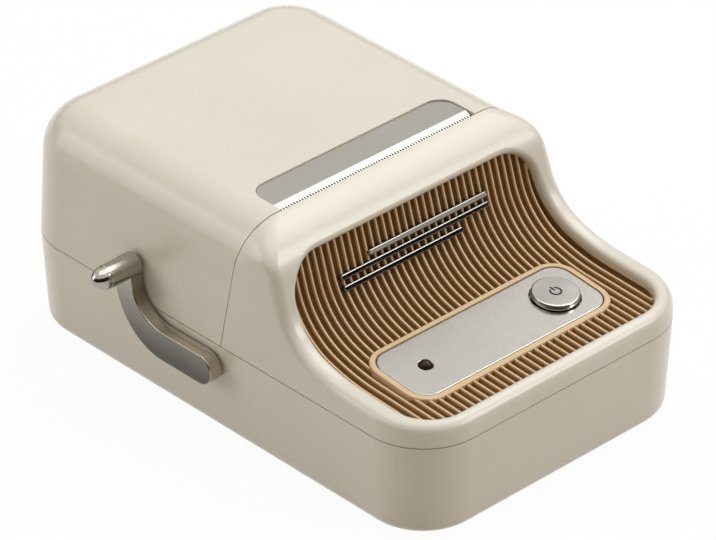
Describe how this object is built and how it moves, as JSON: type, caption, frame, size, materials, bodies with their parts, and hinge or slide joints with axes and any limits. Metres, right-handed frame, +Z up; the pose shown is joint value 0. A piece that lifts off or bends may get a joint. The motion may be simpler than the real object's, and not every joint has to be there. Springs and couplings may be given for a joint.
{
  "type": "label printer",
  "caption": "Desktop label printer with hinged lid, side latch lever with knob, tear blade, swooping front rim and ribbed concave panel holding a control plate with round power button.",
  "frame": {"origin": "centre of the bounding box, at the undersides of the feet; the housing's middle plane lies at x = +6.9 mm, because the lever's knob stands out on the -X side", "axes": "+Z up; -Y is the front with the control plate; +Y is the back with the lid hinge and charging socket; the lever is on the -X side"},
  "size_m": [0.0978, 0.13, 0.0545],
  "materials": {
    "shell": "satin cream moulded plastic",
    "panel": "satin tan moulded plastic",
    "tray": "satin light tan moulded plastic",
    "plate": "fine brushed silver",
    "chrome": "polished",
    "lever": "dark polished nickel",
    "blade": "brushed, bright bevel",
    "steel": "zinc plated",
    "dark_plastic": "matt black",
    "inner_plastic": "matt grey-brown",
    "rubber": "matt black",
    "platen_rubber": "matt black",
    "gear_plastic": "natural acetal",
    "brass": "machined",
    "bush": "sintered, oiled",
    "lens": "smoked clear",
    "lamp": "clear",
    "board": "green solder mask",
    "battery_wrap": "shrink sleeve",
    "motor_can": "zinc plated can",
    "ceramic": "glazed",
    "aluminium": "plain",
    "ribbon": "flat flexible cable"
  },
  "bodies": {
    "base": {"base_shell": "shell", "nose_shell": "shell", "ribbed_panel": "panel", "tray_frame": "tray", "control_plate": "plate", "trim_bar_upper": "chrome", "trim_bar_middle": "chrome", "trim_bar_lower": "chrome", "hinge_pin": "steel", "case_screw_left": "steel", "case_screw_right": "steel", "gear_plate": "steel", "left_plate": "steel", "idler_axle": "steel", "head_bracket": "steel", "head_spring_left": "steel", "head_spring_right": "steel", "lever_spring": "steel", "charge_socket": "steel", "button_switch": "dark_plastic", "gap_sensor": "dark_plastic", "roll_tray": "inner_plastic", "rubber_foot_front_left": "rubber", "rubber_foot_back_left": "rubber", "rubber_foot_front_right": "rubber", "rubber_foot_back_right": "rubber", "indicator_lens": "lens", "indicator_lamp": "lamp", "control_board": "board", "main_board": "board", "socket_board": "board", "battery": "battery_wrap", "stepper_motor": "motor_can", "head_ceramic": "ceramic", "head_sink": "aluminium", "head_ribbon": "ribbon"},
    "lid": {"lid_shell": "shell", "tear_blade": "blade", "catch_pin_left": "steel", "catch_pin_right": "steel", "platen_carrier": "dark_plastic", "carrier_screw_left": "steel", "carrier_screw_right": "steel", "platen_bush_left": "bush", "platen_bush_right": "bush"},
    "platen": {"platen_shaft": "steel", "platen_roller": "platen_rubber", "platen_gear": "gear_plastic"},
    "idler": {"idler_gear": "gear_plastic"},
    "pinion": {"motor_pinion": "brass"},
    "lever": {"lever_arm": "lever", "lever_knob": "chrome", "latch_shaft": "steel", "latch_left": "steel", "latch_right": "steel"},
    "button": {"power_button": "chrome"},
    "left_guide": {"guide_left": "dark_plastic"},
    "right_guide": {"guide_right": "dark_plastic"},
    "rack_pinion": {"guide_pinion": "gear_plastic"}
  },
  "joints": [
    {"name": "lid_hinge", "type": "hinge", "parent": "base", "child": "lid", "pos_m": [0.0069, 0.0619, 0.0264], "axis": [-1, 0, 0], "range_deg": [0, 75]},
    {"name": "platen_turn", "type": "hinge", "parent": "lid", "child": "platen", "pos_m": [0.0069, -0.00113, 0.0435], "axis": [-1, 0, 0], "continuous": true},
    {"name": "idler_turn", "type": "hinge", "parent": "base", "child": "idler", "pos_m": [0.0069, -0.006, 0.03166], "axis": [-1, 0, 0], "continuous": true},
    {"name": "motor_turn", "type": "hinge", "parent": "base", "child": "pinion", "pos_m": [0.0069, -0.01305, 0.02196], "axis": [-1, 0, 0], "continuous": true},
    {"name": "lever_turn", "type": "hinge", "parent": "base", "child": "lever", "pos_m": [0.0069, -0.0003, 0.0179], "axis": [-1, 0, 0], "range_deg": [0, 22], "stiffness_Nm_per_rad": 0.05, "springref_deg": -28.65},
    {"name": "button_press", "type": "slide", "parent": "base", "child": "button", "axis": [0, 0.0958, -0.9954], "range_m": [0, 0.0008], "stiffness_N_per_m": 250, "springref_m": -0.002},
    {"name": "guide_slide_left", "type": "slide", "parent": "base", "child": "left_guide", "axis": [1, 0, 0], "range_m": [0, 0.015]},
    {"name": "guide_slide_right", "type": "slide", "parent": "base", "child": "right_guide", "axis": [-1, 0, 0], "range_m": [0, 0.015]},
    {"name": "guide_pinion_turn", "type": "hinge", "parent": "base", "child": "rack_pinion", "pos_m": [0.0069, 0.0275, 0.0045], "axis": [0, 0, 1], "range_deg": [-180, 0]}
  ],
  "couplings": [
    {"joint": "idler_turn", "follows": "platen_turn", "ratio": -0.6},
    {"joint": "motor_turn", "follows": "platen_turn", "ratio": 1.2},
    {"joint": "guide_slide_right", "follows": "guide_slide_left", "ratio": 1},
    {"joint": "guide_pinion_turn", "follows": "guide_slide_left", "rad_per_m": -208.33}
  ]
}
